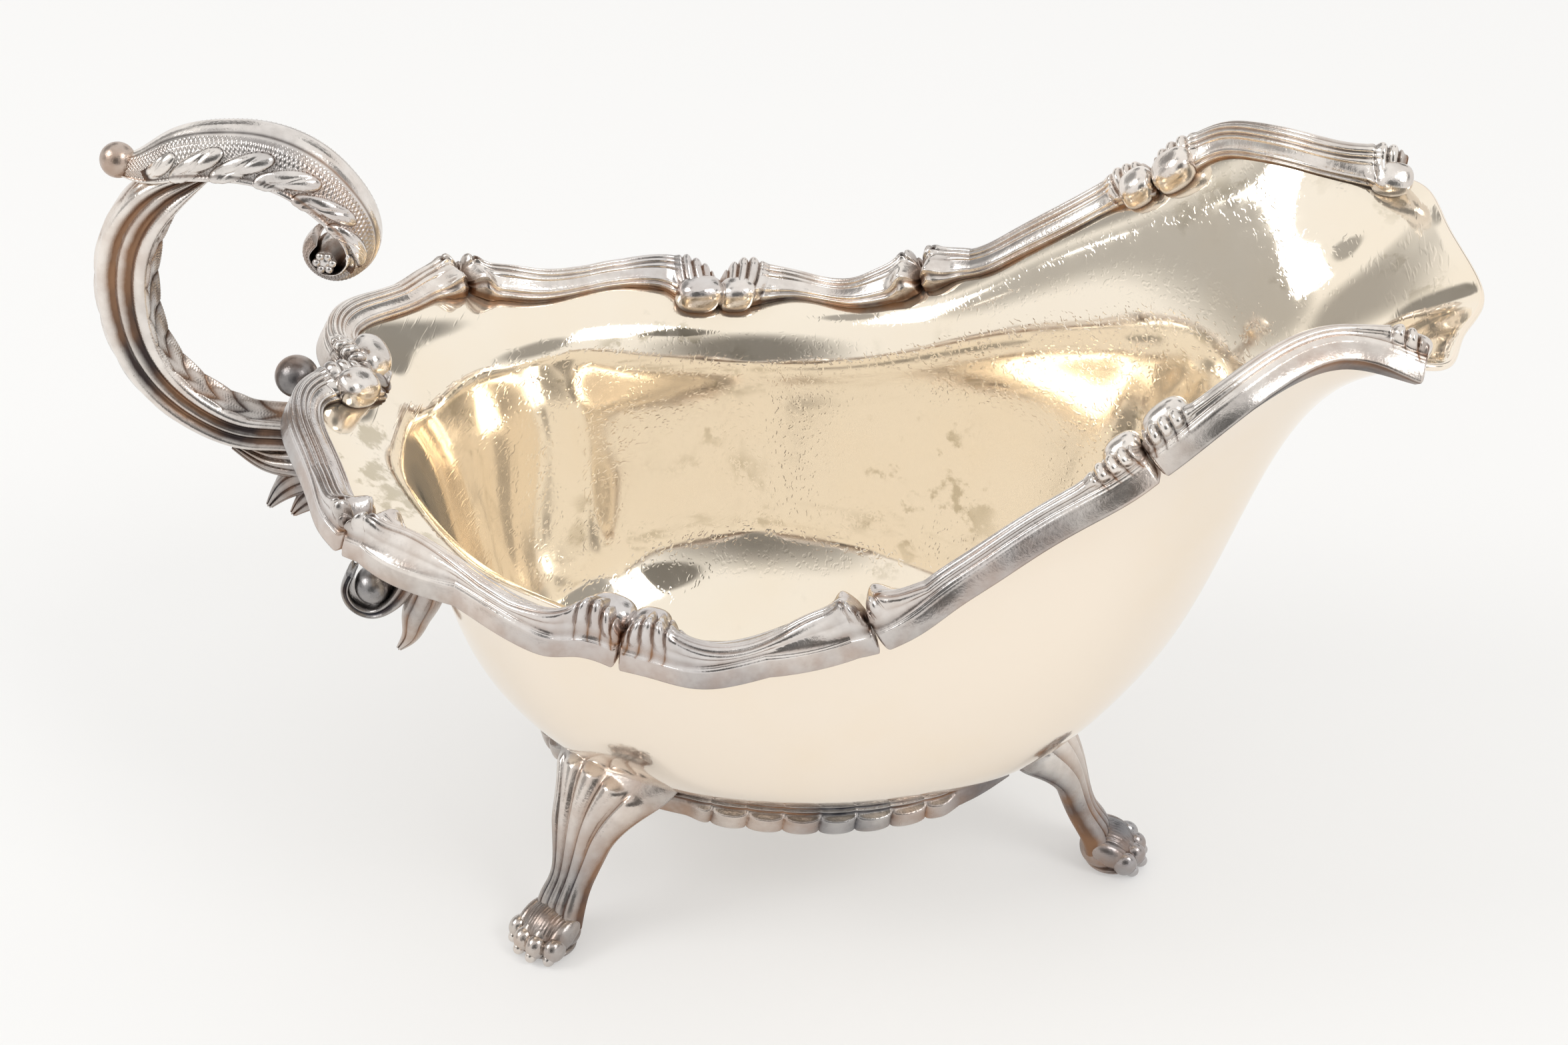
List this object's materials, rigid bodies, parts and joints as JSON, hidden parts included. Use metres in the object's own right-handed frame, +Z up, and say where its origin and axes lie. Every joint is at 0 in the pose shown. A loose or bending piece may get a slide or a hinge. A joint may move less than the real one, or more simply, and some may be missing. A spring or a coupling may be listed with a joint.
{
  "type": "gravy boat",
  "caption": "Silver-plated gravy boat with a flared spout, cast scroll rim, flying C-scroll handle with leaf thumb rest, and paw feet joined by a gadrooned apron.",
  "frame": {"origin": "centre of the bounding box in plan, on the table under the feet", "axes": "+X to the spout, +Z up, handle at -X, y = 0 is the mirror plane"},
  "size_m": [0.231, 0.1186, 0.1429],
  "materials": {
    "polished_plate": "polished",
    "border_casting": "polished",
    "tarnished_casting": "satin"
  },
  "bodies": {
    "root": {"body_shell": "polished_plate", "rim_rear_left": "border_casting", "rim_rear_right": "border_casting", "rim_quarter_left": "border_casting", "rim_quarter_right": "border_casting", "rim_waist_left": "border_casting", "rim_waist_right": "border_casting", "rim_rise_left": "border_casting", "rim_rise_right": "border_casting", "rim_spout_left": "border_casting", "rim_spout_right": "border_casting", "handle_scroll": "tarnished_casting", "handle_leaf": "tarnished_casting", "handle_bracket": "tarnished_casting", "handle_calyx": "tarnished_casting", "leaf_drop": "tarnished_casting", "leg_front": "tarnished_casting", "leg_rear_left": "tarnished_casting", "leg_rear_right": "tarnished_casting", "apron_left": "tarnished_casting", "apron_right": "tarnished_casting", "apron_rear": "tarnished_casting"}
  },
  "joints": []
}
